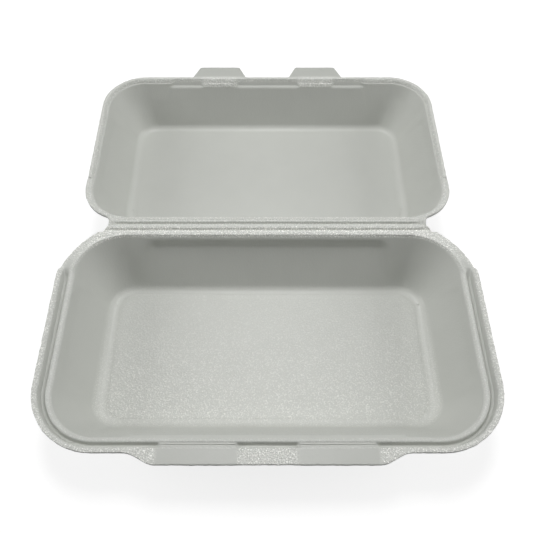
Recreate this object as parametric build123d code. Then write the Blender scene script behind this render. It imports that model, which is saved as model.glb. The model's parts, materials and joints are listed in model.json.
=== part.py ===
from build123d import *
import math
import os

# Hinged take-away lunch box, thermoformed from one sheet of polystyrene foam.
# Millimetres, +Z up. The origin is the centre of the base's underside.
# The base stands on the table with its hinge edge to +Y, and the lid lies open
# beyond the hinge, on the same table. Depths below are taken from the hinge plane,
# which is the flat top of the rim beside the hinge.

# Overall sizes
base_width = 240.0
base_length = 134.0
tray_height = 35.0
wall = 2.3
floor_thickness = 2.4

# Hinge strip
hinge_inset = 24.0
hinge_axis_rise = 0.15
sheet = 2.2
mouth_bevel = 0.8
crease_pitch = 5.2
crease_width = 2.3
crease_depth = 0.95
neck_fillet = 3.0

# Base flange, lip, channel and bead
base_flange_back = 3.0
base_shoulder = 1.7
base_back_radius = 28.0
base_front_radius = 35.0
lip_rise = 1.3
lip_start = 29.0
lip_width_side = 3.2
lip_width_front = 2.9
lip_slope = 1.1
lip_crest = 1.3
channel_depth = 2.5
channel_draft = 0.45
channel_start = 34.0
bead_width_side = 2.5
bead_width_front = 2.1
bead_drop = 1.0
bead_land_start = 31.0
bead_land_run = 3.5
skirt_drop = 4.3
skirt_wall = 1.5
lip_thickness = 2.0

# Base cavity
base_rim_side = 9.1
base_rim_front = 7.5
base_mouth_back = 6.2
base_mouth_back_radius = 27.0
base_mouth_front_radius = 26.0
base_wall_run = 16.5
floor_fillet = 4.0

# Lid rim, lip and cavity
lid_side_clearance = 3.4
lid_front_clearance = 0.3
lid_flange_back = 6.2
lid_shoulder = 0.5
lid_back_radius = 25.0
lid_front_radius = 27.5
lid_lip_rise = 0.9
lid_lip_start = 37.5
lid_lip_flat = 1.4
lid_lip_drop = 0.9
lid_lip_thickness = 1.7
lid_rim_side = 3.6
lid_rim_front = 3.8
lid_mouth_back = 7.6
lid_mouth_back_radius = 25.0
lid_mouth_front_radius = 23.5
lid_wall_run = 15.0

# Latch: two lid tabs, and a bar, a slit and a sunk guide for each on the base, with a front flap
latch_spacing = 68.0
tab_root_width = 36.8
tab_taper = 3.4
tab_corner = 2.5
tab_overhang = 1.9
bar_margin = 0.8
slit_margin = 0.6
slit_width = 0.7
slit_setback = 4.4
guide_margin = 1.6
guide_slope = 1.2
flap_reach = 5.2
flap_margin = 4.5
flap_spread = 6.0
flap_fillet = 9.0

# Panels pressed into the walls
panel_margin = 2.5
panel_spread = 18.0
ledge_depth = 3.4
ledge_width = 1.6
ramp_width = 24.0
recess_top = 3.8
recess_step = 4.4
recess_reach = 2.4
end_panel_width = 50.0
end_recess_reach = 0.6

# Worked out from the sizes above
hinge_y = base_length / 2
hinge_width = base_width - 2 * hinge_inset
half_strip = crease_pitch / 2
inner_depth = tray_height - floor_thickness
base_flange_width = base_width - 2 * base_shoulder
base_mouth_width = base_width - 2 * base_rim_side
base_mouth_front = base_length - base_rim_front
lid_width = base_width - 2 * (lip_width_side + lid_side_clearance)
lid_length = base_length - lip_width_front - lid_front_clearance
lid_flange_width = lid_width + 2 * lid_shoulder
lid_mouth_width = lid_width - 2 * lid_rim_side
lid_mouth_front = lid_length - lid_rim_front
bar_length = tab_root_width + 2 * bar_margin
slit_length = tab_root_width + 2 * slit_margin
guide_width = tab_root_width + 2 * guide_margin
flap_tip_width = latch_spacing + guide_width + 2 * flap_margin
flap_root_width = flap_tip_width + 2 * flap_spread
panel_width = flap_root_width + 2 * panel_margin
tab_end = base_length + flap_reach + tab_overhang
above = 5.0
across = 2 * base_width
seated = (Align.CENTER, Align.CENTER, Align.MIN)


def outline(width, back, front, back_radius, front_radius):
    """Rounded plan outline on the hinge plane: back and front are distances from the hinge line."""
    half = width / 2
    corners = [(-half, -back), (half, -back), (half, -front), (-half, -front)]
    plan = make_face(Polyline(*corners, close=True))
    plan = fillet(plan.vertices().group_by(Axis.Y)[-1], back_radius)
    return fillet(plan.vertices().group_by(Axis.Y)[0], front_radius)


def slab(plan, low, high):
    """Prism over a plan between two heights."""
    return extrude(Pos(0, 0, low) * plan, high - low)


def band(front, back, low, high, width=across):
    """Box between two distances from the hinge line."""
    return Pos(0, -(front + back) / 2, (low + high) / 2) * Box(width, front - back, high - low)


def mirrored(shape):
    """Shape and its mirror image across the middle of the box."""
    return shape + mirror(shape, Plane.YZ)


def wall_line(mouth, floor, depth):
    """Distance of a sloping wall from the hinge line or the middle, at a depth."""
    return mouth + (floor - mouth) * depth / inner_depth


def turned(profile, top_half, bottom_half, top, bottom):
    """Wedge with a profile of (outward distance, height) points, cut to a trapezoid that spreads downward."""
    points = [(0, -out, height) for out, height in profile]
    wedge = extrude(make_face(Polyline(*points, close=True)), across, dir=(1, 0, 0), both=True)
    sides = [(-top_half, 0, top), (top_half, 0, top), (bottom_half, 0, bottom), (-bottom_half, 0, bottom)]
    return wedge & extrude(make_face(Polyline(*sides, close=True)), across, dir=(0, 1, 0), both=True)


class Form:
    """A tray's mould: the cavity, and the same form grown by the wall, as seen from the hinge line."""

    def __init__(self, mouth, run):
        self.mouth = mouth
        width, back, front = mouth[:3]
        self.draft = math.degrees(math.atan(run / inner_depth))
        self.wall_run = wall / math.cos(math.radians(self.draft))
        self.side = (width / 2, width / 2 - run)
        self.front = (front, front - run)
        self.back = (-back, -back - run)
        self.middle = (back + front) / 2
        self.cavity = self.grown(0, inner_depth)
        self.outer = self.grown(self.wall_run, tray_height)

    def grown(self, by, depth):
        """Drafted block under the mouth, every side moved out by the same amount."""
        solid = extrude(self.rim(by), depth, dir=(0, 0, -1), taper=self.draft)
        return fillet(solid.edges().group_by(Axis.Z)[0], floor_fillet + by)

    def rim(self, by, by_front=None):
        """Plan of the mouth, moved out on every side, or by its own amount in front."""
        width, back, front, back_radius, front_radius = self.mouth
        ahead = by if by_front is None else by_front
        return outline(width + 2 * by, back - by, front + ahead, back_radius + by, front_radius + by)

    def flare(self, low, high, reach):
        """Slope that opens the mouth towards the rim, from one height to another."""
        top = self.rim(reach)
        slope = loft([(Pos(0, 0, low) * self.rim(0)).face(), (Pos(0, 0, high) * top).face()], ruled=True)
        return slope + slab(top, high, above)

    def nose(self):
        """Distance of the ledge's inner edge from the hinge line."""
        return wall_line(*self.front, ledge_depth) - ledge_width

    def ledge(self, by):
        """Wedge that fills the front wall below a ledge, for the cavity or moved out by the wall."""
        fade = inner_depth - floor_fillet
        top = -ledge_depth - by * wall / self.wall_run
        foot = wall_line(*self.front, fade) + by
        behind = self.front[0] + wall + by
        profile = [(self.nose() + by, top), (foot, -fade), (behind, -fade), (behind, top)]
        return turned(profile, panel_width / 2, panel_width / 2 + panel_spread / 2, top, -fade)

    def recess(self, side, width, reach, by):
        """Wedge pressed outward into a wall, deepest at its upper step and fading at the floor."""
        fade = inner_depth - floor_fillet
        step = recess_top + recess_step
        start = wall_line(*side, recess_top) + by
        deep = wall_line(*side, step) + reach + by
        foot = wall_line(*side, fade) + by
        inside = [(foot - wall, -fade), (start - wall, -recess_top)]
        profile = [(start, -recess_top), (deep, -step), (foot, -fade), *inside]
        return turned(profile, width / 2, width / 2 + panel_spread / 2, -recess_top, -fade)

    def panelled(self, solid, by):
        """Solid with the ledge panel in front, a recess at the hinge and one in each end wall."""
        solid -= self.ledge(by)
        solid += Rot(0, 0, 180) * self.recess(self.back, panel_width, recess_reach, by)
        for turn in (-90, 90):
            end = Rot(0, 0, turn) * self.recess(self.side, end_panel_width, end_recess_reach, by)
            solid += Pos(0, -self.middle, 0) * end
        return solid


def near_part(plan, near, far):
    """Part of a plan between two distances from the hinge line."""
    return plan & (Pos(0, -(near + far) / 2) * Rectangle(across, far - near))


def necked(plan, back):
    """Flange plan joined to the hinge strip, with rounded inner corners."""
    plan += Pos(0, -back) * Rectangle(hinge_width, 2 * back)
    inner = plan.vertices().filter_by(lambda v: abs(abs(v.X) - hinge_width / 2) < 0.01 and v.Y < -0.01)
    return fillet(inner, neck_fillet)


def creased(solid):
    """Solid with the crease groove pressed in beside its hinge edge."""
    radius = (crease_width**2 / 4 + crease_depth**2) / (2 * crease_depth)
    groove = Rot(0, 90, 0) * Cylinder(radius, across)
    return solid - Pos(0, -half_strip, radius - crease_depth) * groove


def latch_pair(shape):
    """Shape repeated at both latches."""
    return Pos(-latch_spacing / 2, 0, 0) * shape + Pos(latch_spacing / 2, 0, 0) * shape


def base_ring(side, front):
    """Plan of the base's outer edge, moved in by one amount at the sides and another in front."""
    back = base_flange_back + side
    radii = (base_back_radius - side, base_front_radius - side)
    return outline(base_width - 2 * side, back, base_length - front, *radii)


def lip_plan():
    """Plan of the lip's outer edge with the latch flap, and everything inside it."""
    plan = near_part(base_ring(0, 0), lip_start, base_length)
    tip = base_length + flap_reach
    root = flap_root_width / 2
    corner = flap_tip_width / 2
    inside = base_length - flap_fillet
    points = [(-root, -inside), (-root, -base_length), (-corner, -tip), (corner, -tip)]
    plan += make_face(Polyline(*points, (root, -base_length), (root, -inside), close=True))
    bends = plan.vertices().filter_by(lambda v: v.Y < -base_length + 0.01 and abs(v.X) < root + 0.01)
    return fillet(bends, flap_fillet)


def land_cut():
    """Space above the bead and the channel, which lies under the hinge plane beyond a short slope."""
    start = -bead_land_start
    slope = start - bead_land_run
    end = -base_length
    points = [(0, start, 0), (0, slope, -bead_drop), (0, end, -bead_drop), (0, end, above), (0, start, above)]
    block = extrude(make_face(Polyline(*points, close=True)), base_width, dir=(1, 0, 0), both=True)
    return block & slab(base_ring(lip_width_side, lip_width_front), -bead_drop, above)


def lip_cut():
    """Space inside the lip above the hinge plane, with the slope down from its crest."""
    low = (Pos(0, 0, lip_rise - lip_slope) * base_ring(lip_width_side, lip_width_front)).face()
    high = (Pos(0, 0, lip_rise) * base_ring(lip_crest, lip_crest)).face()
    return loft([low, high], ruled=True) + slab(base_ring(lip_width_side, lip_width_front), 0, above)


def channel_cut(form):
    """Channel between the lip and the bead, with round back ends, broken by the two latch bars."""
    low = -channel_depth
    foot = channel_draft
    outer_top = (Pos(0, 0, 0) * base_ring(lip_width_side, lip_width_front)).face()
    outer_low = (Pos(0, 0, low) * base_ring(lip_width_side + foot, lip_width_front + foot)).face()
    inner_top = (Pos(0, 0, 0) * form.rim(bead_width_side, bead_width_front)).face()
    inner_low = (Pos(0, 0, low) * form.rim(bead_width_side + foot, bead_width_front + foot)).face()
    ring = loft([outer_low, outer_top], ruled=True) - loft([inner_low, inner_top], ruled=True)
    ring &= band(base_length, channel_start, low, 0)
    wide = base_width / 2 - lip_width_side - form.side[0] - bead_width_side
    centre = form.side[0] + bead_width_side + wide / 2
    ring += mirrored(Pos(centre, -channel_start, low) * Cylinder(wide / 2 - foot, -low, align=seated))
    bar = band(base_length, form.middle, low, 0, bar_length)
    return ring - latch_pair(bar)


def guide_cut():
    """Sunk way for one lid tab, from the slit out over the flap."""
    half = guide_width / 2
    wider = half + guide_slope
    points = [(-half, 0, -bead_drop), (half, 0, -bead_drop), (wider, 0, lip_rise), (-wider, 0, lip_rise)]
    way = extrude(make_face(Polyline(*points, close=True)), base_length, dir=(0, -1, 0))
    start = base_length - slit_setback
    return Pos(0, -start, 0) * way


def slit_cut():
    """Slit behind one latch bar."""
    at = base_length - slit_setback
    return Pos(0, -at, 0) * Box(slit_length, slit_width, 2 * skirt_drop)


def make_base():
    """Base tray with its flange, lip, channel, bead, latch and half of the hinge strip."""
    radii = (base_mouth_back_radius, base_mouth_front_radius)
    mouth = (base_mouth_width, base_mouth_back, base_mouth_front, *radii)
    form = Form(mouth, base_wall_run)
    radii = (base_back_radius, base_front_radius)
    flange = outline(base_flange_width, base_flange_back, base_length - base_shoulder, *radii)
    flange = near_part(necked(flange, base_flange_back), 0, channel_start)
    lip = lip_plan()
    under = base_ring(lip_width_side - skirt_wall, lip_width_front - skirt_wall)
    under = near_part(under, bead_land_start, base_length)
    pan = Pos(0, -base_length) * Rectangle(guide_width + 2 * sheet, 2 * (flap_reach + slit_setback))
    tray = slab(flange, -sheet, 0) + slab(lip, lip_rise - lip_thickness, lip_rise)
    tray += slab(under, -skirt_drop, 0)
    tray += slab(latch_pair(pan) & lip, -bead_drop - lip_thickness, 0)
    tray += form.panelled(form.outer, form.wall_run)
    tray -= form.panelled(form.cavity, 0)
    tray -= form.flare(-mouth_bevel, 0, mouth_bevel)
    tray -= lip_cut()
    tray -= land_cut()
    tray -= channel_cut(form)
    tray -= latch_pair(guide_cut())
    tray -= latch_pair(slit_cut())
    return creased(tray)


def tab_plan():
    """Plan of one lid tab, from inside the lip to its rounded tip."""
    root = tab_root_width / 2
    tip = root - tab_taper
    start = lid_length - lid_lip_flat / 2
    left = [(-root, -start), (-root, -lid_length), (-tip, -tab_end)]
    plan = make_face(Polyline(*left, (tip, -tab_end), (root, -lid_length), (root, -start), close=True))
    return fillet(plan.vertices().group_by(Axis.Y)[0], tab_corner)


def ramp(form):
    """Fill between the rim and the ledge behind one tab."""
    front = form.front[0]
    behind = front + wall
    slope = [(front, -lid_lip_drop), (form.nose(), -ledge_depth)]
    profile = [*slope, (behind, -ledge_depth), (behind, -lid_lip_drop)]
    return turned(profile, ramp_width / 2, ramp_width / 2, -lid_lip_drop, -ledge_depth)


def make_lid():
    """Lid seen from the hinge line like the base, with its rim lip, tabs and half of the hinge strip."""
    radii = (lid_mouth_back_radius, lid_mouth_front_radius)
    mouth = (lid_mouth_width, lid_mouth_back, lid_mouth_front, *radii)
    form = Form(mouth, lid_wall_run)
    rest = (lid_flange_back, lid_length, lid_back_radius, lid_front_radius)
    flange = near_part(necked(outline(lid_flange_width, *rest), lid_flange_back), 0, lid_lip_start)
    lip = near_part(outline(lid_width, *rest), lid_lip_start, lid_length)
    lip += latch_pair(tab_plan())
    tray = slab(flange, -sheet, 0) + slab(lip, lid_lip_rise - lid_lip_thickness, lid_lip_rise)
    tray += form.panelled(form.outer, form.wall_run)
    tray -= form.panelled(form.cavity, 0) - latch_pair(ramp(form))
    tray -= form.flare(-lid_lip_drop, lid_lip_rise, lid_width / 2 - lid_lip_flat - form.side[0])
    return mirror(creased(tray), Plane.XZ)


def write(solid, name):
    """Place a piece in the part's frame and write it."""
    placed = Pos(0, hinge_y, tray_height) * solid
    placed.label = name
    export_step(placed, f"parts/{name}.step")


def main():
    """Write both pieces."""
    os.makedirs("parts", exist_ok=True)
    write(make_base(), "base_tray")
    write(make_lid(), "lid")
    print(f"Hinge axis along X, at Y {hinge_y} and Z {tray_height + hinge_axis_rise}")


main()
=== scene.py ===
import json
import math

import bmesh
import bpy
import numpy as np
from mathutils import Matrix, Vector, noise


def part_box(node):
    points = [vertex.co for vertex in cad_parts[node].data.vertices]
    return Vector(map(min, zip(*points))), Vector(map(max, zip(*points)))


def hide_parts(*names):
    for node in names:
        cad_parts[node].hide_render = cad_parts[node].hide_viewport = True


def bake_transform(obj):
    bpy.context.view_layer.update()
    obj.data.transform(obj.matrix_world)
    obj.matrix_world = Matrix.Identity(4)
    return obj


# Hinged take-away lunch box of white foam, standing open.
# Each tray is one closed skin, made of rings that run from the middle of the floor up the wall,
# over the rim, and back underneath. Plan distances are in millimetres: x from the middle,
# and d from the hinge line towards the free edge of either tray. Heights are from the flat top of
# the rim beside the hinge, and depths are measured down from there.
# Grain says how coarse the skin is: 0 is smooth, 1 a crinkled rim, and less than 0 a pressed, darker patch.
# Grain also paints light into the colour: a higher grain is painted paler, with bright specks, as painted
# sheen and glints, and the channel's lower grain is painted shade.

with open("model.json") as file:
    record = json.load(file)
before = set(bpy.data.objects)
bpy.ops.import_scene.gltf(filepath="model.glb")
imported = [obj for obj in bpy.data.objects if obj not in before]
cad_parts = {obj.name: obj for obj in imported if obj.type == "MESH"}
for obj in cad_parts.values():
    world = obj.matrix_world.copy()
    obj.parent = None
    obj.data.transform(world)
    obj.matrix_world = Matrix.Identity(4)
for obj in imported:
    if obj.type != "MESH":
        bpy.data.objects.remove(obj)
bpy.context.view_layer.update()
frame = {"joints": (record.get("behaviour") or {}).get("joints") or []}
MM = 0.001
hinge = Vector(frame["joints"][0]["pos_m"])

# Sizes that both trays share
TRAY_HEIGHT = 35.0
FLOOR_DEPTH = 32.6
WALL = 2.3
FLANGE_THICKNESS = 2.2
FLOOR_FILLET = 5.0
LATCH_AT = 34.0

# Hinge strip, the crease on each side of the hinge line, and how far the bend reaches from that line.
# The sides of a crease slope over the stretch CREASE_SLOPE about its half width.
STRIP_HALF = 96.0
CREASE_AT = 2.25
CREASE_HALF = 1.15
CREASE_SLOPE = (0.2, -0.5)
CREASE_DEPTH = 1.35

# Panels pressed into the walls, which widen towards the floor and fade out at their foot.
# A border is how far the edge of a panel fades on either side of its outline.
PANEL_HALF = 67.0
PANEL_SPREAD = 9.0
PANEL_FOOT = 28.6
PANEL_BORDER = 1.6
LEDGE_TOP = 0.9
LEDGE_DEPTH = 3.4
LEDGE_ROUND = 0.35
RECESS_TOP = 2.4
RECESS_STEP = 8.2
RECESS_ROUND = 0.8
RECESS_REACH = 2.4
RECESS_BORDER = (5.0, -3.0)
END_PANEL_HALF = 25.0
END_PANEL_BORDER = 2.5
END_RECESS_REACH = 0.5

# Columns of a ring, which run from the middle of the front to the middle of the back.
# Up to FIXED_X they keep their places in all rings, and they are close together at the latch's edges.
STEP = 1.15
FIXED_X = 76.0
FEATURE_X = (0, 12.8, 14.0, 14.6, 15.2, 16.4, 51.6, 52.8, 53.4, 54.4, 66.5, FIXED_X)
STRETCH_COLUMNS = 7
CORNER_COLUMNS = 40
SIDE_COLUMNS = 44

# Columns added where the lip starts, and the stretch of the back corner that turns into the hinge strip,
# both as shares of the back corner's length
NOTCH_COLUMNS = (-0.016, -0.010, -0.005, 0.0, 0.005, 0.010, 0.016)
BACK_BLEND = (0.35, 0.85)

# A column belongs to the front, the back or an end where its outward direction points that way by this share
FACING = 0.98

# Rings round the flat of the floor, as shares of its size, each with its rise, then the shares beneath it,
# and how far ahead of its arc the back corner of such a ring starts, in radii
FLOOR_RINGS = ((0.87, 0), (0.94, 0.02), (0.962, 0.10), (0.973, 0.0), (0.982, -0.12), (0.991, -0.06))
UNDER_RINGS = (0.985, 0.955, 0.915, 0.87)
EVEN_LEAD = 0.02

# Depths of the rings on the inner wall, shares of the way down on the outer wall, which starts a little
# beneath the rim's underside, and rings in a fillet
WALL_DEPTHS = (
    27.6, 26, 24, 21, 18, 15, 12.5, 10.5, 9.2, 8.2, 7.2, 6, 5, 4.2, 3.75,
    3.5, 3.3, 3.1, 2.7, 2.1, 1.5,
)
OUTER_SHARES = (0, 0.06, 0.14, 0.25, 0.38, 0.52, 0.66, 0.8, 0.92, 1)
OUTER_START = 0.3
FILLET_STEPS = 6

# Stations over the rim, as shares of the bead, the channel, the lip and the flap, and last the shares
# of the lip left before the edge. The sheet is cut between the channel's two stations numbered in SLIT.
ON_BEAD = (0.0, 0.05, 0.12, 0.2, 0.3, 0.42, 0.55, 0.68, 0.8, 0.91)
ON_CHANNEL = (0.02, 0.09, 0.16, 0.23, 0.30, 0.37, 0.46, 0.55, 0.65, 0.75, 0.85, 0.94, 0.99)
ON_LIP = (0.06, 0.15, 0.27, 0.40, 0.53)
ON_FLAP = (0.2, 0.4, 0.6, 0.8)
AT_EDGE = (0.25, 0.14, 0.06, 0.015)
SLIT = (5, 6)

# Rings down the cut edge, each with its inset, its share of the way down and a rise, then shares of the
# way in under the lip, and rings down the skirt, each with its distance from it and its share of the way
EDGE_RINGS = ((0, 0.15, 0), (0, 0.8, 0), (0.12, 1, 0.1), (0.45, 1, 0))
UNDER_LIP = (0.35, 0.7)
SKIRT_RINGS = ((0.5, 0.0), (0.12, 0.04), (0.0, 0.2), (0.0, 0.8), (-0.12, 0.97), (-0.6, 1.0))

# The skirt stays this far inside the edge, and less on a rim narrower than the second size
EDGE_MARGIN = 1.1
NARROW_RIM = 6.2

# The rim rounds down into the mouth by this share of its rounding, along a curve with this power
MOUTH_SINK = 0.6
MOUTH_CURVE = 2.2

# An edge point further from the hinge line than this has a rounded edge
OFF_LINE = 0.01

# Grain of the places that are alike in both trays. The fillet's is a share of the floor's,
# which the floor's falls to between the two shares of PLATEAU_FADE.
FILLET_GRAIN = 0.7
PLATEAU_FADE = (0.985, 0.965)
EDGE_GRAIN = 0.5
UNDER_RIM_GRAIN = 0.4
OUTER_GRAIN = 0.3
OUTER_FILLET_GRAIN = 0.2

# Relief of the foam skin: crinkles that follow the grain, long waves, and the waver of the cut edge
CRINKLE_SIZE = 1.7
CRINKLE_RISE = 0.17
CRINKLE_SEED = 3.1
WAVE_SIZE = 7.0
WAVE_RISE = 0.06
WAVE_SEED = 7.7
RAGGED_SIZE = 2.2
RAGGED_EDGE = 0.3
RAGGED_SEED = 9.7
RAGGED_FADE = 3.0

# The floor keeps a share of the crinkles, which grows to all of them over a height. Near the hinge line
# the skin moves only up and down, and only its top, so that the two trays stay joined.
FLOOR_SHARE = 0.2
FLOOR_FADE = 4.0
SEAM_FADE = 1.5
SEAM_TOP = 3.0

# Edges nearer to the hinge line than this, in metres, stay sharp if they bend by more than this, in degrees
SEAM_GAP = 1e-7
SHARP_ANGLE = 40.0

# Foam: texture scales in cells per metre, bump in metres, and linear colours. The pale coarse colour and the
# bright specks are painted sheen and painted glints of the crinkled skin.
CELL_SCALE = 1000
GLINT_AND_RELIEF_SCALE = 1450
CLOUD_SCALE = 60
BUMP_DISTANCE = 0.0002
BUMP_PER_GRAIN = 0.8
BUMP_PLAIN = 0.08
BUMP_LEAST = 0.05
GLOSS = 0.35
SMOOTH_COLOUR = (0.530, 0.542, 0.508, 1)
COARSE_SHEEN_COLOUR = (0.635, 0.645, 0.609, 1)
GRAIN_SHEEN_TONE = 0.6
CLOUD_TONE = 0.25
GLINT_TONE = 14.0
GLINT_FROM = 0.5
GLINT_GRAIN = 0.22
ROUGHNESS_NOISE = (0.3, 0.7)
ROUGHNESS = (0.3, 0.5)

# Studio, in metres and watts: lamps by name, place, size and power, all facing one target
WHITE = (1, 1, 1, 1)
FLOOR_SIZE = 6.0
FLOOR_DROP = 0.0004
FLOOR_GLOW = 0.8
FLOOR_COLOUR = (0.38, 0.38, 0.38, 1)
SURROUND_SEEN = 0.9
SURROUND_LIGHT = 0.1
LAMPS = (
    ("overhead", (0, 0.17, 0.7), (0.2, 0.14), 1.4),
    ("beyond", (0, 0.42, 0.85), (0.3, 0.2), 2.0),
    ("left", (-0.8, 0.1, 0.4), (0.5, 0.3), 2.35),
    ("right", (0.8, 0.1, 0.4), (0.5, 0.3), 2.35),
)
LAMP_TARGET = (0, 0.067, 0.0)

# Camera: place in metres, tilt in degrees, sensor and lens in millimetres
CAMERA_PLACE = (-0.00055, -0.1435, 0.3266)
CAMERA_TILT = 32.02
SENSOR_WIDTH = 36.0
LENS = 40.52
CLIP_START = 0.01


def smooth(low, high, value):
    """Smooth step from 0 to 1 between two values, either way round."""
    t = np.clip((value - low) / (high - low), 0, 1)
    return t * t * (3 - 2 * t)


def step_at(place, reach, value):
    """Smooth step from 0 to 1 about a place, between two distances from it."""
    return smooth(place + reach[0], place + reach[1], value)


def bump(centre, half, value):
    """Rounded ridge of height 1 about a centre."""
    t = np.clip(np.abs(value - centre) / half, 0, 1)
    return np.cos(t * math.pi / 2) ** 2


def mix(a, b, share):
    """Value between a and b."""
    return a + (b - a) * share


def arc(centre, radius, start, end, count=60):
    """Points along an arc in plan, with angles in degrees from +x towards the free edge."""
    angles = np.radians(np.linspace(start, end, count))
    return np.column_stack([centre[0] + radius * np.cos(angles), centre[1] + radius * np.sin(angles)])


def curve(start, bend, end, count=12):
    """Points along a curve from a start, which is left out, towards a bend point and into an end."""
    t = np.linspace(0, 1, count)[1:, None]
    return (1 - t) ** 2 * np.array(start) + 2 * t * (1 - t) * np.array(bend) + t**2 * np.array(end)


def path_length(points):
    """Length along a path up to each of its points."""
    return np.concatenate([[0], np.cumsum(np.hypot(*np.diff(points, axis=0).T))])


def resample(points, shares):
    """Points at shares of a path's length."""
    along = path_length(points)
    return np.column_stack([np.interp(shares * along[-1], along, points[:, k]) for k in (0, 1)])


def straight_columns():
    """Places of the columns along half of the front or the back, up to the part that stretches."""
    places = [0.0]
    for low, high in zip(FEATURE_X, FEATURE_X[1:]):
        count = max(1, round((high - low) / STEP))
        places.extend(np.linspace(low, high, count + 1)[1:])
    return np.array(places)


STRAIGHT = straight_columns()
STRAIGHT_COUNT = len(STRAIGHT) - 1 + STRETCH_COLUMNS
HALF_COUNT = 2 * STRAIGHT_COUNT + 2 * CORNER_COLUMNS + SIDE_COLUMNS
RING_COUNT = 2 * HALF_COUNT
BACK_CORNER_START = STRAIGHT_COUNT + CORNER_COLUMNS + SIDE_COLUMNS
EVEN_SHARES = np.linspace(0, 1, CORNER_COLUMNS + 1)


def line(x_end, d):
    """Columns from the middle to the end of a straight front or back."""
    stretch = np.linspace(FIXED_X, x_end, STRETCH_COLUMNS + 1)[1:]
    x = np.concatenate([STRAIGHT, stretch])
    return np.column_stack([x, np.full(len(x), float(d))])


def half_ring(front, front_corner, back_corner, back, shares):
    """Half of a ring, from the middle of the front to the middle of the back."""
    first = resample(front_corner, EVEN_SHARES)
    last = resample(back_corner, shares)
    side = mix(first[-1], last[0], np.linspace(0, 1, SIDE_COLUMNS + 1)[:, None])
    return np.vstack([front, first[1:], side[1:], last[1:], back[::-1][1:]])


def rounded_half(half, back, front, back_radius, front_radius, lead, shares):
    """Half ring of a rounded rectangle, whose back corner starts ahead of its arc by some radii."""
    front_corner = arc((half - front_radius, front - front_radius), front_radius, 90, 0)
    back_arc = arc((half - back_radius, back + back_radius), back_radius, 0, -90)
    back_corner = np.vstack([[(half, back + back_radius * (1 + lead))], back_arc])
    ends = (line(half - front_radius, front), line(half - back_radius, back))
    return half_ring(ends[0], front_corner, back_corner, ends[1], shares)


def whole(half):
    """Whole ring from its half."""
    return np.vstack([half, half[-2:0:-1] * np.array([-1, 1])])


def whole_values(half):
    """Values for a whole ring from those of its half."""
    return np.concatenate([half, half[-2:0:-1]])


def ring_directions(ring, middle):
    """Outward direction in plan at each column."""
    along = np.roll(ring, -1, axis=0) - np.roll(ring, 1, axis=0)
    normal = np.column_stack([along[:, 1], -along[:, 0]])
    normal /= np.linalg.norm(normal, axis=1)[:, None]
    side = np.sum(normal * (ring - np.array([0, middle])), axis=1)
    return normal * np.sign(side)[:, None]


def latch_distance(x):
    """Distance from the middle of the nearer latch."""
    return np.abs(np.abs(x) - LATCH_AT)


def panel_share(x, spread=0.0):
    """1 across the panel in the front, which is wider by a spread on each side, and 0 beside it."""
    return smooth(PANEL_BORDER, -PANEL_BORDER, np.abs(x) - PANEL_HALF - spread)


def panel_fade(depth, full):
    """1 down to the depth where a panel has its full reach, and then evenly down to 0 at its foot."""
    return np.clip((PANEL_FOOT - depth) / (PANEL_FOOT - full), 0, 1)


def skin_noise(points, size, seed):
    """Soft noise from -1 to 1 at plan or space points in millimetres."""
    places = np.zeros((len(points), 3))
    places[:, :points.shape[1]] = points / size
    return np.array([noise.noise(Vector(place) + Vector((seed, 0, 0))) for place in places])


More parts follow.
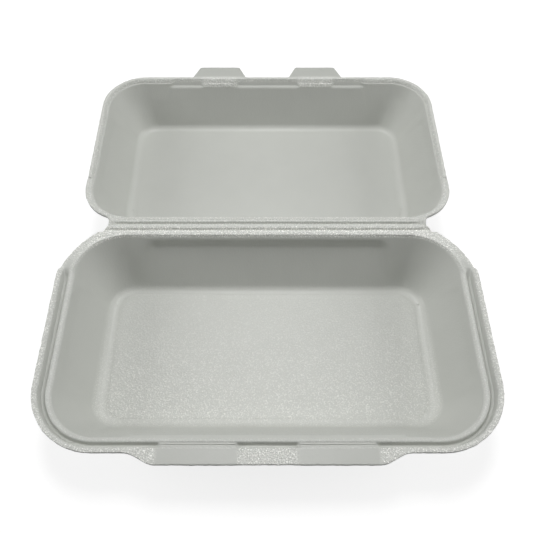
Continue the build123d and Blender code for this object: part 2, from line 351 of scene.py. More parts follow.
class Tray:
    """What the two trays have in common. A subclass gives the outline, the rim's heights and the latch.

    MOUTH and FLOOR are rounded rectangles: half width, back, front, back radius and front radius.
    UPRIGHT is how far the wall over the ledge stands out at its top and at the ledge.
    LIP_RUN is the stretch about LIP_START over which the lip rises.
    HINGE_CRESTS are ridges and grooves along the hinge, by place, half width and rise.
    FLOOR_GRAIN_AND_SHEEN runs from the hinge to the free edge, and PLATEAU scales the rise of FLOOR_RINGS.
    """

    def __init__(self, name, node, toward):
        self.name = name
        self.node = node
        self.toward = toward
        half, back, front, back_radius = self.MOUTH[:4]
        self.middle = (back + front) / 2
        self.draft_run = half - self.FLOOR[0]
        self.slope = math.atan2(FLOOR_DEPTH, self.draft_run)
        corner = self.back_corner()
        shares = self.corner_shares(corner)
        lead = (self.SIDE_END - back - back_radius) / back_radius
        self.mouth = whole(rounded_half(*self.MOUTH, lead, shares))
        self.floor = whole(rounded_half(*self.FLOOR, lead, shares))
        self.edge = self.ragged(whole(half_ring(*self.edge_paths(corner), shares)))
        self.outward = ring_directions(self.mouth, self.middle)
        self.front = self.outward[:, 1] > FACING
        self.width = np.hypot(*(self.edge - self.mouth).T)
        self.set_sections()
        self.rings = []
        self.heights = []
        self.grain_and_sheen = []

    def corner_shares(self, corner):
        """Columns round the back corner, as shares of its length, close together where the lip starts."""
        at = path_length(corner)
        notch = np.interp(self.LIP_START, corner[::-1, 1], at[::-1]) / at[-1]
        plain = np.linspace(0, 1, CORNER_COLUMNS + 1 - len(NOTCH_COLUMNS))
        return np.sort(np.concatenate([plain, notch + np.array(NOTCH_COLUMNS)]))

    def ragged(self, edge):
        """Cut edge with the slight waver of trimmed foam, always inside the clean outline."""
        waver = 0.5 + 0.5 * skin_noise(edge, RAGGED_SIZE, self.toward * RAGGED_SEED)
        free = smooth(0, RAGGED_FADE, edge[:, 1]) * RAGGED_EDGE * waver
        return edge - ring_directions(edge, self.middle) * free[:, None]

    def edge_paths(self, back_corner):
        """Front line, front corner, back corner and hinge line of the outer edge."""
        centre = (self.HALF - self.FRONT_RADIUS, self.LENGTH - self.FRONT_RADIUS)
        front = self.front_edge(line(centre[0], self.LENGTH))
        return front, arc(centre, self.FRONT_RADIUS, 90, 0), back_corner, line(STRIP_HALF, 0)

    def back_share(self):
        """0 at the sides and the front, rising to 1 along the hinge."""
        half = np.zeros(HALF_COUNT + 1)
        end = BACK_CORNER_START + CORNER_COLUMNS
        half[BACK_CORNER_START:end + 1] = smooth(*BACK_BLEND, EVEN_SHARES)
        half[end:] = 1
        return whole_values(half)

    def set_sections(self):
        """Where the bead and the channel end in each column, and the rim's width without a flap or a tab."""
        mouth_back, mouth_front = self.MOUTH[1:3]
        rim = self.LENGTH - RAGGED_EDGE - mouth_front
        self.nominal = np.minimum(np.where(self.front, rim, self.width), self.width)
        bead, channel = self.section_lines()
        crease = [(mouth_back - CREASE_AT + side * CREASE_HALF) / mouth_back for side in (-1, 1)]
        back = self.back_share()
        self.bead = mix(bead, self.width * crease[0], back)
        self.channel = mix(channel, self.width * crease[1], back)

    def lip_share(self, d):
        """0 on the flange beside the hinge, 1 where the lip stands."""
        return step_at(self.LIP_START, self.LIP_RUN, d)

    def skirt_line(self):
        """Distance from the mouth where the underside turns down."""
        inside = self.width - EDGE_MARGIN * np.minimum(1, self.width / NARROW_RIM)
        return np.minimum(self.nominal - self.SKIRT_INSET, inside)

    def slit_columns(self):
        """Columns on each side of which the sheet is cut through."""
        return np.zeros(RING_COUNT, bool)

    def open_wall(self, x):
        """1 where the wall over the ledge is upright."""
        return np.ones(len(x))

    def ledge_rise(self, x, depth):
        """How much of the ledge stands out at a depth."""
        return step_at(LEDGE_DEPTH, (-LEDGE_ROUND, self.LEDGE_SLOPE), depth)

    def floor_grain(self, d):
        """Grain of the floor, from the hinge to the free edge. Where it rises towards the free edge, as in
        the base, that part is painted paler as sheen.
        """
        return mix(*self.FLOOR_GRAIN_AND_SHEEN, smooth(self.FLOOR[1], self.FLOOR[2], d))

    def wall_grain(self, depth):
        """Grain of the wall at a depth."""
        return np.full(RING_COUNT, self.WALL_GRAIN)

    def at_edge(self, over):
        """Points over the rim at a distance from the mouth, for each column."""
        return mix(self.mouth, self.edge, (over / self.width)[:, None])

    def add(self, points, heights, grain_and_sheen):
        """Next ring, given by its plan points, its heights and its grain."""
        self.rings.append(points)
        self.heights.append(np.broadcast_to(heights, len(points)).astype(float))
        self.grain_and_sheen.append(np.broadcast_to(grain_and_sheen, len(points)).astype(float))

    def wall_ring(self, depth, out=0.0, shift=0.0):
        """Points on the wall at a depth, moved out, with the panels pressed in at a depth that is shifted."""
        depth = np.broadcast_to(depth, RING_COUNT)
        points = mix(self.mouth, self.floor, (depth / FLOOR_DEPTH)[:, None])
        pressed = self.panels(points, depth - shift)
        return points + self.outward * (out + pressed)[:, None]

    def panels(self, points, depth):
        """Outward offset of the recesses at the hinge and in the end walls, and of the panel in front."""
        x, d = points.T
        spread = PANEL_SPREAD * depth / FLOOR_DEPTH
        step = smooth(RECESS_TOP - RECESS_ROUND, RECESS_STEP + RECESS_ROUND, depth)
        step = step * panel_fade(depth, RECESS_STEP)
        back = smooth(*RECESS_BORDER, np.abs(x) - PANEL_HALF - spread) * (self.outward[:, 1] < -FACING)
        beside = np.abs(d - self.middle) - END_PANEL_HALF - spread
        ends = smooth(END_PANEL_BORDER, -END_PANEL_BORDER, beside) * (np.abs(self.outward[:, 0]) > FACING)
        recess = step * (RECESS_REACH * back + END_RECESS_REACH * ends)
        rise = self.ledge_rise(x, depth)
        ledge = self.LEDGE_WIDTH * panel_fade(depth, LEDGE_DEPTH) * rise
        upright = mix(*self.UPRIGHT, np.clip((depth - LEDGE_TOP) / (LEDGE_DEPTH - LEDGE_TOP), 0, 1))
        upright = upright * (1 - rise) * self.open_wall(x)
        return recess + (upright - ledge) * panel_share(x, spread) * self.front

    def fillet_rings(self, radius, out, bottom):
        """Rings round the fillet between the floor and the wall, from the floor up."""
        reach = radius * math.tan(self.slope / 2)
        base = self.wall_ring(bottom, out)
        for angle in np.linspace(0, self.slope, FILLET_STEPS + 1):
            shift = radius * math.sin(angle) - reach
            yield base + self.outward * shift, radius * (1 - math.cos(angle)) - bottom

    def even_ring(self, radius, out):
        """Edge of the flat part of the floor, with evenly spaced columns in its corners."""
        inset = radius * math.tan(self.slope / 2) - out
        half, back, front, back_radius, front_radius = self.FLOOR
        ends = (half - inset, back + inset, front - inset, back_radius - inset, front_radius - inset)
        return whole(rounded_half(*ends, EVEN_LEAD, EVEN_SHARES))

    def build(self):
        """All rings, from the patch in the middle of the floor, over the rim and back underneath."""
        self.inner_floor()
        for depth in WALL_DEPTHS:
            self.add(self.wall_ring(depth), -depth, self.wall_grain(depth))
        self.first_station = len(self.rings)
        for over in self.stations():
            points = self.at_edge(over)
            self.add(points, self.top_height(over), self.rim_grain(over, points))
        self.under_rim()
        self.outer_side()

    def inner_floor(self):
        """Rings over the floor and up its fillet."""
        centre = np.array([0, self.middle])
        even = self.even_ring(FLOOR_FILLET, 0.0)
        for share, rise in FLOOR_RINGS:
            points = mix(centre, even, share)
            grain_and_sheen = self.floor_grain(points[:, 1]) * mix(FILLET_GRAIN, 1, smooth(*PLATEAU_FADE, share))
            self.add(points, rise * self.PLATEAU - FLOOR_DEPTH, grain_and_sheen)
        for points, height in self.fillet_rings(FLOOR_FILLET, 0.0, FLOOR_DEPTH):
            self.add(points, height, self.floor_grain(points[:, 1]) * FILLET_GRAIN)

    def stations(self):
        """Distances from the mouth of the stations over the rim, for each column."""
        bead, channel, full, nominal = self.bead, self.channel, self.width, self.nominal
        for share in ON_BEAD:
            yield bead * share + self.mouth_shift() * (1 - share)
        for share in ON_CHANNEL:
            yield mix(bead, channel, share)
        for share in ON_LIP:
            yield mix(channel, nominal, share)
        last = mix(channel, nominal, ON_LIP[-1])
        tip = full - (nominal - channel) * AT_EDGE[0]
        for share in ON_FLAP:
            yield mix(last, tip, share)
        for share in AT_EDGE:
            yield full - (nominal - channel) * share

    def top_height(self, over):
        """Height of the rim's top at a distance from the mouth, for each column."""
        points = self.at_edge(over)
        d = points[:, 1]
        height = self.section_height(over, points)
        start = np.clip((over - self.mouth_shift()) / self.MOUTH_ROUND, 0, 1)
        height = height - MOUTH_SINK * self.MOUTH_ROUND * (1 - start) ** MOUTH_CURVE
        for place, half, rise in self.HINGE_CRESTS:
            height = height + rise * bump(place, half, d)
        off_hinge = self.edge[:, 1] > OFF_LINE
        out = np.clip(1 - (self.width - over) / self.EDGE_ROUND, 0, 1)
        height = height - off_hinge * self.EDGE_ROUND * (1 - np.sqrt(1 - out**2))
        return height - CREASE_DEPTH * step_at(CREASE_HALF, CREASE_SLOPE, np.abs(d - CREASE_AT))

    def under_rim(self):
        """Rings down the edge and in under the rim to the outer wall."""
        under, self.skirt_depth = self.under_heights()
        skirt = self.skirt_line()
        full = self.width
        tip_top = self.top_height(full)
        for inset, share, rise in EDGE_RINGS:
            self.add(self.at_edge(full - inset), mix(tip_top, under, share) + rise, EDGE_GRAIN)
        for share in UNDER_LIP:
            over = mix(full - EDGE_RINGS[-1][0], skirt + SKIRT_RINGS[0][0], share)
            self.add(self.at_edge(over), under, UNDER_RIM_GRAIN)
        for over, share in SKIRT_RINGS:
            self.add(self.at_edge(skirt + over), mix(under, -self.skirt_depth, share), UNDER_RIM_GRAIN)
        self.under_slit = len(self.rings)
        for k in SLIT[::-1]:
            over = mix(self.bead, self.channel, ON_CHANNEL[k])
            self.add(self.at_edge(over), -self.skirt_depth, OUTER_GRAIN)

    def outer_side(self):
        """Rings down the outer wall, round its fillet and in under the floor."""
        out = WALL / math.sin(self.slope)
        for share in OUTER_SHARES:
            depth = mix(self.skirt_depth + OUTER_START, PANEL_FOOT, share)
            self.add(self.wall_ring(depth, out, WALL), -depth, OUTER_GRAIN)
        fillet = list(self.fillet_rings(FLOOR_FILLET + WALL, out, TRAY_HEIGHT))
        for points, height in fillet[-2::-1]:
            self.add(points, height, OUTER_FILLET_GRAIN)
        centre = np.array([0, self.middle])
        even = self.even_ring(FLOOR_FILLET + WALL, out - (TRAY_HEIGHT - FLOOR_DEPTH) / math.tan(self.slope))
        for share in UNDER_RINGS:
            self.add(mix(centre, even, share), -TRAY_HEIGHT, 0)

    def ring_points(self):
        """All ring vertices in metres, in the box's own frame."""
        plan = np.concatenate(self.rings)
        height = np.concatenate(self.heights)
        y = hinge.y + self.toward * plan[:, 1] * MM
        return np.column_stack([plan[:, 0] * MM, y, (TRAY_HEIGHT + height) * MM])


class Base(Tray):
    """Base, with a raised lip, a channel, a bead, two latch slits and a flap.

    A pair of widths is for the sides and the front. FLAP and GUIDE are places along the front.
    """

    # Outline, with the round flange beside the hinge, and the step from it to the lip
    HALF = 120.0
    LENGTH = 134.0
    FRONT_RADIUS = 35.0
    FLANGE_CENTRE = (73.0, 43.0)
    FLANGE_RADIUS = 47.9
    FLANGE_END = 3.6
    NECK_BEND = (96.8, 1.2)
    LIP_START = 29.0
    LIP_RUN = (-1.0, 4.0)
    SIDE_END = 36.0
    STEP_START = 33.0
    STEP_INSET = 0.25
    STEP_REACH = (0.6, -0.2)
    FLAP = (69.5, 54.5)
    FLAP_REACH = 5.2

    # Walls, and the ledge in the front wall
    MOUTH = (110.9, 6.6, 126.5, 27.0, 26.0)
    FLOOR = (95.0, 24.0, 110.6, 14.0, 14.0)
    LEDGE_WIDTH = 0.9
    LEDGE_SLOPE = 0.5
    UPRIGHT = (0.0, 1.0)
    PLATEAU = 1.0

    # Bead, which drops over the stretch of BEAD_LAND, with the place and half width of its crest:
    # on the flange in millimetres, and on the bead as shares of its width
    BEAD = (2.4, 1.85)
    BEAD_DROP = 1.0
    BEAD_LAND = (28.5, 34.0)
    BEAD_CREST = 0.32
    CREST_ON_FLANGE = (1.0, 0.95)
    CREST_ON_BEAD = (0.58, 0.62)

    # Channel, with the stretches of its two slopes as shares of its width. Where the wall's direction
    # has less of the front than AHEAD_LEAST, the channel ends at a fixed distance from the mouth.
    AHEAD_LEAST = 0.02
    CHANNEL_DEPTH = 2.95
    CHANNEL_START = (28.0, 36.0)
    CHANNEL_IN = (-0.05, 0.36)
    CHANNEL_OUT = (-0.3, 0.06)

    # Lip, with the share of its width over which it rises from its foot, and the skirt under it
    LIP = (3.0, 2.65)
    LIP_RISE = 1.3
    LIP_FOOT = 0.6
    LIP_SLOPE = 0.5
    LIP_THICKNESS = 2.0
    SKIRT_DROP = 4.3
    SKIRT_INSET = 1.7
    EDGE_ROUND = 0.35
    MOUTH_ROUND = 0.8

    # Latch: bars, slits, and sunk guides in the flap with a patch between them
    BAR_HALF = 19.2
    BAR_END = (0.4, -0.1)
    SLIT_HALF = 19.0
    GUIDE = (14.6, 54.0)
    GUIDE_ROUND = 0.4
    PATCH_START = 13.2
    PATCH_RISE = 0.55
    FLAP_SLOPE_END = 67.0

    HINGE_CRESTS = ((6.0, 0.6, 0.45), (5.3, 0.4, -0.25), (4.5, 0.6, 0.4), (0, 1.0, 0.3))

    # Grain, and the stretches over which it changes. In the channel it is less by CHANNEL_LESS,
    # which fades out at CHANNEL_SPREAD of the channel's width from its middle. The lower grain paints the
    # channel's shade darker, and the high grain on the hinge, the lip and the flap paints them paler as
    # sheen.
    FLOOR_GRAIN_AND_SHEEN = (0.4, 0.95)
    WALL_GRAIN = 0.16
    HINGE_GRAIN_AND_SHEEN = 1.75
    BEAD_GRAIN = 0.55
    LIP_GRAIN_AND_SHEEN = 1.35
    CHANNEL_LESS = 0.45
    CHANNEL_SPREAD = 0.75
    FLAP_GRAIN_AND_SHEEN = 1.8
    GUIDE_GRAIN = -0.1
    OFF_HINGE = (8, 32)
    ON_TO_LIP = (-0.5, 1.2)
    ON_TO_FLAP = (-0.3, 0.5)
    FLAP_FADE = (70, 62)
    GUIDE_FADES = ((-1, 1), (2, -1))

    def flange_angle(self, d):
        """Angle on the round flange at a distance from the hinge line."""
        return math.degrees(math.asin((d - self.FLANGE_CENTRE[1]) / self.FLANGE_RADIUS))

    def back_corner(self):
        """Edge from the side, over the step where the lip starts, round the flange and into the strip."""
        ahead, behind = (self.LIP_START + reach for reach in self.STEP_REACH)
        lip_end = (self.HALF - self.STEP_INSET, ahead)
        step = [(self.HALF, self.SIDE_END), (self.HALF, self.STEP_START), lip_end]
        angles = self.flange_angle(behind), self.flange_angle(self.FLANGE_END)
        flange = arc(self.FLANGE_CENTRE, self.FLANGE_RADIUS, *angles)
        return np.vstack([step, flange, curve(flange[-1], self.NECK_BEND, (STRIP_HALF, 0))])

    def front_edge(self, points):
        """Front line with the latch flap."""
        points[:, 1] += self.FLAP_REACH * smooth(*self.FLAP, points[:, 0])
        return points

    def section_lines(self):
        """Distances from the mouth to the end of the bead and of the channel, away from the hinge."""
        ahead = np.clip(self.outward[:, 1], 0, 1) ** 2
        side_channel = self.HALF - self.MOUTH[0] - self.LIP[0]
        channel = np.where(ahead > self.AHEAD_LEAST, self.nominal - mix(*self.LIP, ahead), side_channel)
        return mix(*self.BEAD, ahead), channel

    def land(self, d):
        """0 on the flange beside the hinge, rising to 1 where the bead has its full drop."""
        return smooth(*self.BEAD_LAND, d)

    def mouth_shift(self):
        """The bead lies under the flange, so its inner edge is further in."""
        return -self.draft_run / FLOOR_DEPTH * self.BEAD_DROP * self.land(self.mouth[:, 1])

    def lip_top(self, x, d):
        """Height of the lip's crest, which sinks to the guides and the patch between them on the flap."""
        x = np.abs(x)
        full = self.LIP_RISE + self.BEAD_DROP
        slope = smooth(self.GUIDE[1] - self.GUIDE_ROUND, self.FLAP_SLOPE_END, x) * full
        patch = smooth(self.GUIDE[0], self.PATCH_START, x) * self.PATCH_RISE
        sunk = np.minimum(np.maximum(slope, patch) - self.BEAD_DROP, self.LIP_RISE)
        return np.where(self.front, sunk, self.lip_share(d) * self.LIP_RISE)

    def section_height(self, over, points):
        """Height over the bead, the channel, the latch bars and the lip."""
        x, d = points.T
        land = self.land(d)
        crests = zip(self.CREST_ON_FLANGE, self.CREST_ON_BEAD)
        place, half = (mix(flange, share * self.bead, land) for flange, share in crests)
        bead = self.BEAD_CREST * bump(place, half, over) - self.BEAD_DROP * land
        bar = step_at(self.BAR_HALF, self.BAR_END, latch_distance(x)) * self.front
        flange = -self.BEAD_DROP * land
        deep = mix(flange, -self.CHANNEL_DEPTH, smooth(*self.CHANNEL_START, d))
        deep = mix(deep, flange, bar)
        rise = smooth(0, self.LIP_SLOPE, (over - self.channel) / (self.nominal - self.channel))
        top = self.lip_top(x, d)
        foot = np.minimum(self.lip_share(d) * self.LIP_FOOT, top)
        span = self.channel - self.bead
        into = step_at(self.bead, [share * span for share in self.CHANNEL_IN], over)
        out_of = step_at(self.channel, [share * span for share in self.CHANNEL_OUT], over)
        return mix(mix(bead, deep, into), mix(foot, top, rise), out_of)

    def under_heights(self):
        """Height of the rim's underside at the edge, and depth of the underside behind the skirt."""
        x, d = self.edge.T
        lip = self.lip_share(d)
        edge = self.lip_top(x, d) - self.LIP_THICKNESS
        return mix(-FLANGE_THICKNESS, edge, lip), mix(FLANGE_THICKNESS, self.SKIRT_DROP, lip)

    def slit_columns(self):
        """Columns of the two slits."""
        return (latch_distance(self.mouth[:, 0]) < self.SLIT_HALF) & self.front

    def rim_grain(self, over, points):
        """Coarse along the hinge, the lip and the flap, painted paler there as sheen; fine in the channel,
        painted darker there as shade, and where the tabs slide.
        """
        x = np.abs(points[:, 0])
        reach = (self.channel - self.bead) * self.CHANNEL_SPREAD
        in_channel = bump((self.bead + self.channel) / 2, reach, over)
        on_lip = step_at(self.channel, self.ON_TO_LIP, over)
        # Less grain in the channel smooths it and paints its shade darker
        rim = mix(self.BEAD_GRAIN, self.LIP_GRAIN_AND_SHEEN, on_lip) - self.CHANNEL_LESS * in_channel
        grain_and_sheen = mix(self.HINGE_GRAIN_AND_SHEEN, rim, smooth(*self.OFF_HINGE, points[:, 1]))
        inner, outer = (step_at(edge, fade, x) for edge, fade in zip(self.GUIDE, self.GUIDE_FADES))
        in_front = step_at(self.channel, self.ON_TO_FLAP, over) * self.front
        on_flap = smooth(*self.FLAP_FADE, x) * in_front
        return mix(mix(grain_and_sheen, self.FLAP_GRAIN_AND_SHEEN, on_flap), self.GUIDE_GRAIN, inner * outer * in_front)


class Lid(Tray):
    """Lid, with a flared rim and two latch tabs."""

    # Outline, with the round flange beside the hinge, and the step from it to the lip
    HALF = 113.4
    LENGTH = 130.8
    FRONT_RADIUS = 27.5
    FLANGE_HALF = 113.9
    FLANGE_BACK = 6.2
    BACK_RADIUS = 25.0
    NECK_RADIUS = 3.0
    LIP_START = 37.5
    LIP_RUN = (-0.5, 0.9)
    SIDE_END = 44.0
    STEP_HALF = 0.5

    # Walls, and the ledge in the front wall with a ramp behind each tab
    MOUTH = (109.8, 7.6, 127.0, 25.0, 23.5)
    FLOOR = (93.8, 22.0, 113.4, 14.0, 14.0)
    LEDGE_WIDTH = 0.3
    LEDGE_SLOPE = 0.9
    UPRIGHT = (1.0, 0.8)
    PLATEAU = 0.4
    RAMP_HALF = 12.0
    RAMP_BORDER = 0.8

    # Flared rim, which starts at the larger of a share of its width and a gap, with its crest:
    # place as a share of the flare, half width, and rise
    FLARE_START = 0.3
    FLARE_GAP = 0.4
    FLARE_FROM = -0.35
    FLARE_CREST = (0.9, 1.3, 0.15)
    LIP_RISE = 0.9
    LIP_DROP = 0.9
    LIP_FLAT = 1.4
    LIP_THICKNESS = 1.7
    SKIRT_DROP = 0.4
    SKIRT_INSET = 0.55
    EDGE_ROUND = 0.7
    MOUTH_ROUND = 1.3

    # Latch tabs
    TAB_ROOT_HALF = 18.4
    TAB_TIP_HALF = 15.0
    TAB_LENGTH = 10.3
    TAB_CORNER = 2.5

    HINGE_CRESTS = ((7.0, 0.6, -0.7), (5.6, 0.8, 0.45), (4.7, 0.4, -0.25), (3.9, 0.6, 0.4), (0, 1.0, 0.3))

    # Grain, and how far the ramp's reaches past its border and down the wall. The high grain of the ramps
    # paints them paler as sheen.
    FLOOR_GRAIN_AND_SHEEN = (0.12, 0.12)
    WALL_GRAIN = 0.18
    RIM_GRAIN = 0.9
    RAMP_GRAIN_AND_SHEEN = 1.4
    TAB_GRAIN = -0.9
    RAMP_FADE = 1.0
    RAMP_FOOT = 0.2
    TAB_FADE = (-0.6, 0.6)

    def back_corner(self):
        """Edge from the side, over the step where the lip starts, round the flange and into the strip."""
        ahead, behind = self.LIP_START + self.STEP_HALF, self.LIP_START - self.STEP_HALF
        step = [(self.HALF, self.SIDE_END), (self.HALF, ahead), (self.FLANGE_HALF, behind)]
        x = self.FLANGE_HALF - self.BACK_RADIUS
        d = self.FLANGE_BACK + self.BACK_RADIUS
        neck_x = STRIP_HALF + self.NECK_RADIUS
        neck_d = d - math.sqrt((self.BACK_RADIUS + self.NECK_RADIUS) ** 2 - (neck_x - x) ** 2)
        meet = math.degrees(math.atan2(neck_d - d, neck_x - x))
        flange = arc((x, d), self.BACK_RADIUS, 0, meet)
        neck = arc((neck_x, neck_d), self.NECK_RADIUS, 180 + meet, 180)
        return np.vstack([step, flange, neck, [(STRIP_HALF, 0)]])

    def front_edge(self, points):
        """Front line with the two tabs, whose columns draw together towards the tip."""
        across = points[:, 0] - LATCH_AT
        on = np.abs(across) < self.TAB_ROOT_HALF
        tip = across[on] / np.abs(across[on]).max() * self.TAB_TIP_HALF
        corner = np.clip(np.abs(tip) - self.TAB_TIP_HALF + self.TAB_CORNER, 0, self.TAB_CORNER)
        points[on, 0] = LATCH_AT + tip
        points[on, 1] += self.TAB_LENGTH - self.TAB_CORNER + np.sqrt(self.TAB_CORNER**2 - corner**2)
        return points

    def section_lines(self):
        """Distances from the mouth to the start of the flare and of the flat, away from the hinge."""
        flare = np.maximum(self.nominal * self.FLARE_START, self.mouth_shift() + self.FLARE_GAP)
        return flare, self.nominal - self.LIP_FLAT

    def mouth_shift(self):
        """The rim starts further out where the wall over the ledge is upright."""
        x = self.mouth[:, 0]
        return self.UPRIGHT[0] * self.open_wall(x) * panel_share(x) * self.front

    def open_wall(self, x):
        """1 where the wall over the ledge is upright, beside the ramps."""
        return step_at(self.RAMP_HALF, (-self.RAMP_BORDER, self.RAMP_BORDER), latch_distance(x))

    def on_ramp(self, x, border):
        """1 on the ramps behind the tabs, fading over a border."""
        return step_at(self.RAMP_HALF, (border, -border), latch_distance(x))

    def section_height(self, over, points):
        """Height over the flange beside the hinge, and over the flare and flat of the lip."""
        flat = self.nominal - self.LIP_FLAT
        flare = mix(-self.LIP_DROP, self.LIP_RISE, smooth(self.FLARE_FROM, 1.0, over / flat))
        place, half, rise = self.FLARE_CREST
        crest = bump(place * flat, half, over) * rise
        return self.lip_share(points[:, 1]) * (flare + crest)

    def ledge_rise(self, x, depth):
        """Behind each tab a ramp fills the corner over the ledge."""
        sloped = np.clip((depth - self.LIP_DROP) / (LEDGE_DEPTH - self.LIP_DROP), 0, 1)
        return mix(super().ledge_rise(x, depth), sloped, self.on_ramp(x, self.RAMP_BORDER))

    def under_heights(self):
        """Height of the rim's underside at the edge, and depth of the underside beside the wall."""
        lip = self.lip_share(self.edge[:, 1])
        edge = mix(-FLANGE_THICKNESS, self.LIP_RISE - self.LIP_THICKNESS, lip)
        return edge, mix(FLANGE_THICKNESS, FLANGE_THICKNESS + self.SKIRT_DROP, lip)

    def wall_grain(self, depth):
        """Coarse on the ramps behind the tabs, painted paler there as sheen, and fine elsewhere."""
        ramp = self.on_ramp(self.mouth[:, 0], self.RAMP_FADE) * self.front
        return mix(self.WALL_GRAIN, self.RAMP_GRAIN_AND_SHEEN, ramp * (depth < LEDGE_DEPTH + self.RAMP_FOOT))

    def rim_grain(self, over, points):
        """Coarse over the rim and the ramps, which paints them paler as sheen, and fine on the tabs."""
        tab = step_at(self.nominal, self.TAB_FADE, over) * self.front
        ramp = self.on_ramp(points[:, 0], self.RAMP_FADE) * self.front
        return mix(mix(self.RIM_GRAIN, self.RAMP_GRAIN_AND_SHEEN, ramp), self.TAB_GRAIN, tab)


def fill_patch(vertices, ring, faces):
    """Fill a ring at the middle of a floor with a grid of quads, between the middles of its corners."""
    near = STRAIGHT_COUNT + CORNER_COLUMNS // 2
    far = HALF_COUNT - near
    front, right = range(-near, near + 1), range(near, far + 1)
    back, left = range(-far, far - RING_COUNT - 1, -1), range(-near, -far - 1, -1)
    sides = [[ring * RING_COUNT + k % RING_COUNT for k in side] for side in (front, right, back, left)]
    columns, rows = len(front) - 1, len(right) - 1
    u = (np.arange(1, columns) / columns)[:, None]
    v = (np.arange(1, rows) / rows)[:, None, None]
    points = np.array(vertices)
    front, right, back, left = (points[side] for side in sides)
    corners = mix(mix(front[0], front[-1], u), mix(back[0], back[-1], u), v)
    inside = mix(front[1:-1], back[1:-1], v) + mix(left[1:-1, None], right[1:-1, None], u) - corners
    grid = np.zeros((rows + 1, columns + 1), int)
    grid[0], grid[:, -1], grid[-1], grid[:, 0] = sides
    grid[1:-1, 1:-1] = len(vertices) + np.arange((rows - 1) * (columns - 1)).reshape(rows - 1, -1)
    vertices.extend(inside.reshape(-1, 3))
    quads = [grid[:-1, :-1], grid[:-1, 1:], grid[1:, 1:], grid[1:, :-1]]
    faces.extend(np.stack(quads, -1).reshape(-1, 4).tolist())


def quad(low, high, column):
    """Face between two rings, from a column to the next."""
    after = (column + 1) % RING_COUNT
    low, high = low * RING_COUNT, high * RING_COUNT
    return low + column, low + after, high + after, high + column


def skin_faces(tray):
    """Quads between the rings, with the slits cut through."""
    cut = tray.slit_columns()
    cut = cut & np.roll(cut, -1)
    top = tray.first_station + len(ON_BEAD) + SLIT[0]
    under = tray.under_slit
    faces = []
    for ring in range(len(tray.rings) - 1):
        opened = cut if ring in (top, under) else np.zeros(RING_COUNT, bool)
        faces.extend(quad(ring, ring + 1, column) for column in np.flatnonzero(~opened).tolist())
    around = np.array([top, top + 1, under, under + 1]) * RING_COUNT
    for column in range(RING_COUNT):
        if cut[column]:
            faces.append(quad(top, under + 1, column))
            faces.append(quad(top + 1, under, column))
        if cut[column] != cut[column - 1]:
            faces.append(tuple((around + column).tolist()))
    return faces


def outward_normals(mesh):
    """Turn every face outward, keep the cut at the hinge line sharp, and return the vertex normals."""
    shape = bmesh.new()
    shape.from_mesh(mesh)
    bmesh.ops.recalc_face_normals(shape, faces=shape.faces)
    for face in shape.faces:
        face.smooth = True
    for edge in shape.edges:
        on_seam = all(abs(vertex.co.y - hinge.y) < SEAM_GAP for vertex in edge.verts)
        if on_seam and edge.calc_face_angle(0) > math.radians(SHARP_ANGLE):
            edge.smooth = False
    shape.to_mesh(mesh)
    shape.free()
    normals = np.zeros(len(mesh.vertices) * 3)
    mesh.vertex_normals.foreach_get("vector", normals)
    return normals.reshape(-1, 3)


def crinkle(mesh, normals, grain_and_sheen, box):
    """Move the skin by the foam's fine relief, without leaving the piece's own box."""
    places = np.zeros(len(mesh.vertices) * 3)
    mesh.vertices.foreach_get("co", places)
    places = places.reshape(-1, 3)
    spot = places / MM
    away = smooth(0, SEAM_FADE, np.abs(places[:, 1] - hinge.y) / MM)
    top = (spot[:, 2] > TRAY_HEIGHT - SEAM_TOP) * (1 - away)
    above = step_at(TRAY_HEIGHT - FLOOR_DEPTH, (0, FLOOR_FADE), spot[:, 2])
    grain_and_sheen = np.maximum(grain_and_sheen, 0) * mix(FLOOR_SHARE, 1, above)
    direction = normals * away[:, None] + np.array([0, 0, 1]) * top[:, None]
    amount = skin_noise(spot, CRINKLE_SIZE, CRINKLE_SEED) * CRINKLE_RISE * grain_and_sheen
    amount += skin_noise(spot, WAVE_SIZE, WAVE_SEED) * WAVE_RISE * (grain_and_sheen > 0)
    places = places + direction * (amount * MM)[:, None]
    low, high = (np.array(corner) for corner in box)
    mesh.vertices.foreach_set("co", np.clip(places, low, high).ravel())


def make_skin(tray):
    """Closed mesh of one tray."""
    tray.build()
    vertices = list(tray.ring_points())
    faces = skin_faces(tray)
    fill_patch(vertices, 0, faces)
    floor_end = len(vertices)
    fill_patch(vertices, len(tray.rings) - 1, faces)
    rings = np.concatenate(tray.grain_and_sheen)
    floor = np.array(vertices[len(rings):floor_end])
    grain_and_sheen = np.zeros(len(vertices))
    grain_and_sheen[:len(rings)] = rings
    grain_and_sheen[len(rings):floor_end] = tray.floor_grain(tray.toward * (floor[:, 1] - hinge.y) / MM)
    mesh = bpy.data.meshes.new(tray.name)
    mesh.from_pydata([tuple(vertex) for vertex in vertices], [], faces)
    crinkle(mesh, outward_normals(mesh), grain_and_sheen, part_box(tray.node))
    # The grain attribute also sets the painted sheen and the painted shade in the foam's colour
    mesh.attributes.new("grain_and_sheen", "FLOAT", "POINT").data.foreach_set("value", grain_and_sheen)
    mesh.update()
    piece = bpy.data.objects.new(tray.name, mesh)
    bpy.context.scene.collection.objects.link(piece)
    return piece


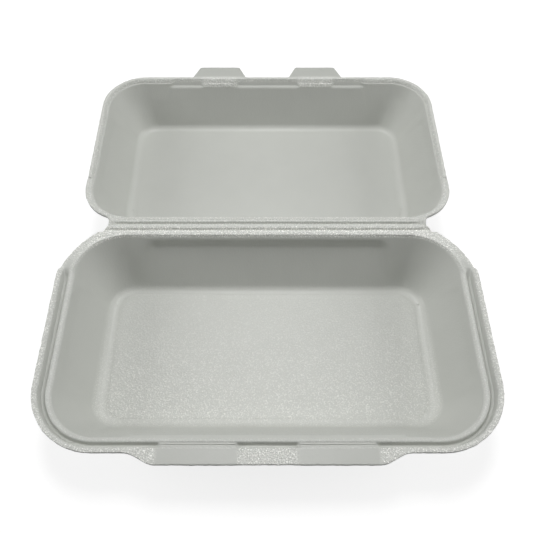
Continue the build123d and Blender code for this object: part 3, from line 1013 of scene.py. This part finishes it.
class Shading:
    """Nodes of one material or world, and short ways to add to them."""

    def __init__(self, owner):
        owner.use_nodes = True
        self.nodes = owner.node_tree.nodes
        self.link = owner.node_tree.links.new

    def add(self, kind, **values):
        """Node of a kind, with values for its inputs, each a socket, a number or a colour."""
        node = self.nodes.new(kind)
        for name, value in values.items():
            self.set(node.inputs[name.replace("_", " ")], value)
        return node

    def set(self, socket, value):
        """Link a socket to another one, or give it a value."""
        if isinstance(value, bpy.types.NodeSocket):
            self.link(value, socket)
        else:
            socket.default_value = value

    def math(self, operation, *values):
        """Result of a math node, from sockets and numbers."""
        node = self.nodes.new("ShaderNodeMath")
        node.operation = operation
        for socket, value in zip(node.inputs, values):
            self.set(socket, value)
        return node.outputs[0]

    def seen_rays(self):
        """1 for the rays that show the background: seen directly, in gloss or through glass."""
        path = self.add("ShaderNodeLightPath").outputs
        gloss = self.math("ADD", path["Is Camera Ray"], path["Is Glossy Ray"])
        return self.math("ADD", gloss, path["Is Transmission Ray"])


def foam_tone_and_sheen(shading, grain_and_sheen, fine, cloud):
    """Colour of the foam: paler where it is coarse, as painted sheen, with bright specks as painted glints,
    and faint clouds.
    """
    # Bright specks on coarse foam are painted glints
    above = shading.math("MAXIMUM", shading.math("SUBTRACT", fine, GLINT_FROM), 0.0)
    coarse = shading.math("MAXIMUM", shading.math("SUBTRACT", grain_and_sheen, GLINT_GRAIN), 0.0)
    painted_glint = shading.math("MULTIPLY", shading.math("MULTIPLY", above, GLINT_TONE), coarse)
    clouds = shading.math("MULTIPLY", cloud, CLOUD_TONE)
    # A higher grain paints the colour paler, as painted sheen
    shade = shading.math("ADD", shading.math("MULTIPLY", grain_and_sheen, GRAIN_SHEEN_TONE), clouds)
    tone = shading.add("ShaderNodeMix")
    tone.data_type = "RGBA"
    tone.clamp_factor = False
    # Several sockets of this node share a name, so they are taken by number
    factor, first, second = (tone.inputs[k] for k in (0, 6, 7))
    shading.set(factor, shading.math("ADD", shade, painted_glint))
    shading.set(first, SMOOTH_COLOUR)
    shading.set(second, COARSE_SHEEN_COLOUR)
    return tone.outputs[2]


def foam_material():
    """White foam sheet: faint cells under a slightly glossy skin, coarser where the grain is high, and
    painted paler there with painted glints.
    """
    material = bpy.data.materials.new("foam_skin")
    shading = Shading(material)
    shader = shading.nodes["Principled BSDF"].inputs
    place = shading.add("ShaderNodeTexCoord").outputs["Object"]
    attribute = shading.add("ShaderNodeAttribute")
    attribute.attribute_name = "grain_and_sheen"
    grain_and_sheen = attribute.outputs["Fac"]
    cells = shading.add("ShaderNodeTexVoronoi", Vector=place, Scale=CELL_SCALE).outputs["Distance"]
    fine, cloud = (
        shading.add("ShaderNodeTexNoise", Vector=place, Scale=scale, Detail=1.0).outputs["Fac"]
        for scale in (GLINT_AND_RELIEF_SCALE, CLOUD_SCALE)
    )
    strength = shading.math("MULTIPLY_ADD", grain_and_sheen, BUMP_PER_GRAIN, BUMP_PLAIN)
    strength = shading.math("MAXIMUM", strength, BUMP_LEAST)
    relief = shading.math("ADD", cells, fine)
    bumps = shading.add("ShaderNodeBump", Distance=BUMP_DISTANCE, Strength=strength, Height=relief)
    rough = shading.add("ShaderNodeMapRange", Value=fine)
    for name, value in zip(("From Min", "From Max", "To Min", "To Max"), ROUGHNESS_NOISE + ROUGHNESS):
        shading.set(rough.inputs[name], value)
    shading.set(shader["Base Color"], foam_tone_and_sheen(shading, grain_and_sheen, fine, cloud))
    shading.set(shader["Roughness"], rough.outputs["Result"])
    shading.set(shader["Specular IOR Level"], GLOSS)
    shading.set(shader["Normal"], bumps.outputs["Normal"])
    return material


def make_floor():
    """Pale floor that shows white to the camera and keeps a faint shadow."""
    bpy.ops.mesh.primitive_plane_add(size=FLOOR_SIZE, location=(0, hinge.y, -FLOOR_DROP))
    floor = bpy.context.object
    floor.name = "studio_floor"
    material = bpy.data.materials.new("studio_floor")
    shading = Shading(material)
    shading.nodes.clear()
    glow = shading.add("ShaderNodeEmission", Color=WHITE)
    shading.set(glow.inputs["Strength"], shading.math("MULTIPLY", shading.seen_rays(), FLOOR_GLOW))
    matte = shading.add("ShaderNodeBsdfDiffuse", Color=FLOOR_COLOUR)
    both = shading.add("ShaderNodeAddShader")
    shading.link(glow.outputs[0], both.inputs[0])
    shading.link(matte.outputs[0], both.inputs[1])
    shading.link(both.outputs[0], shading.add("ShaderNodeOutputMaterial").inputs[0])
    floor.data.materials.append(material)


def area_light(name, place, size, power):
    """Soft lamp that faces the box."""
    light = bpy.data.lights.new(name, "AREA")
    light.shape = "RECTANGLE"
    light.size, light.size_y = size
    light.energy = power
    lamp = bpy.data.objects.new(name, light)
    lamp.location = place
    lamp.rotation_euler = (Vector(LAMP_TARGET) - Vector(place)).to_track_quat("-Z", "Y").to_euler()
    bpy.context.scene.collection.objects.link(lamp)


def make_lights():
    """Lamps above, beyond and beside the box, and an even pale surround."""
    world = bpy.data.worlds.new("surround")
    bpy.context.scene.world = world
    shading = Shading(world)
    surround = shading.nodes["Background"].inputs
    seen = shading.math("MULTIPLY", shading.seen_rays(), SURROUND_SEEN)
    shading.set(surround["Color"], WHITE)
    shading.set(surround["Strength"], shading.math("ADD", seen, SURROUND_LIGHT))
    for name, place, size, power in LAMPS:
        area_light(name, place, size, power)


def make_camera():
    """Camera where the photograph was taken from."""
    data = bpy.data.cameras.new("camera")
    data.sensor_width = SENSOR_WIDTH
    data.lens = LENS
    data.clip_start = CLIP_START
    camera = bpy.data.objects.new("camera", data)
    camera.location = CAMERA_PLACE
    camera.rotation_euler = (math.radians(CAMERA_TILT), 0, 0)
    bpy.context.scene.collection.objects.link(camera)
    bpy.context.scene.camera = camera


def main():
    """Both trays, the stage and the camera."""
    foam = foam_material()
    for tray in (Base("base_foam", "base_tray", -1), Lid("lid_foam", "lid", 1)):
        piece = make_skin(tray)
        piece.data.materials.append(foam)
        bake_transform(piece)
        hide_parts(tray.node)
    make_floor()
    make_lights()
    make_camera()
    bpy.context.scene.view_settings.view_transform = "Standard"


main()
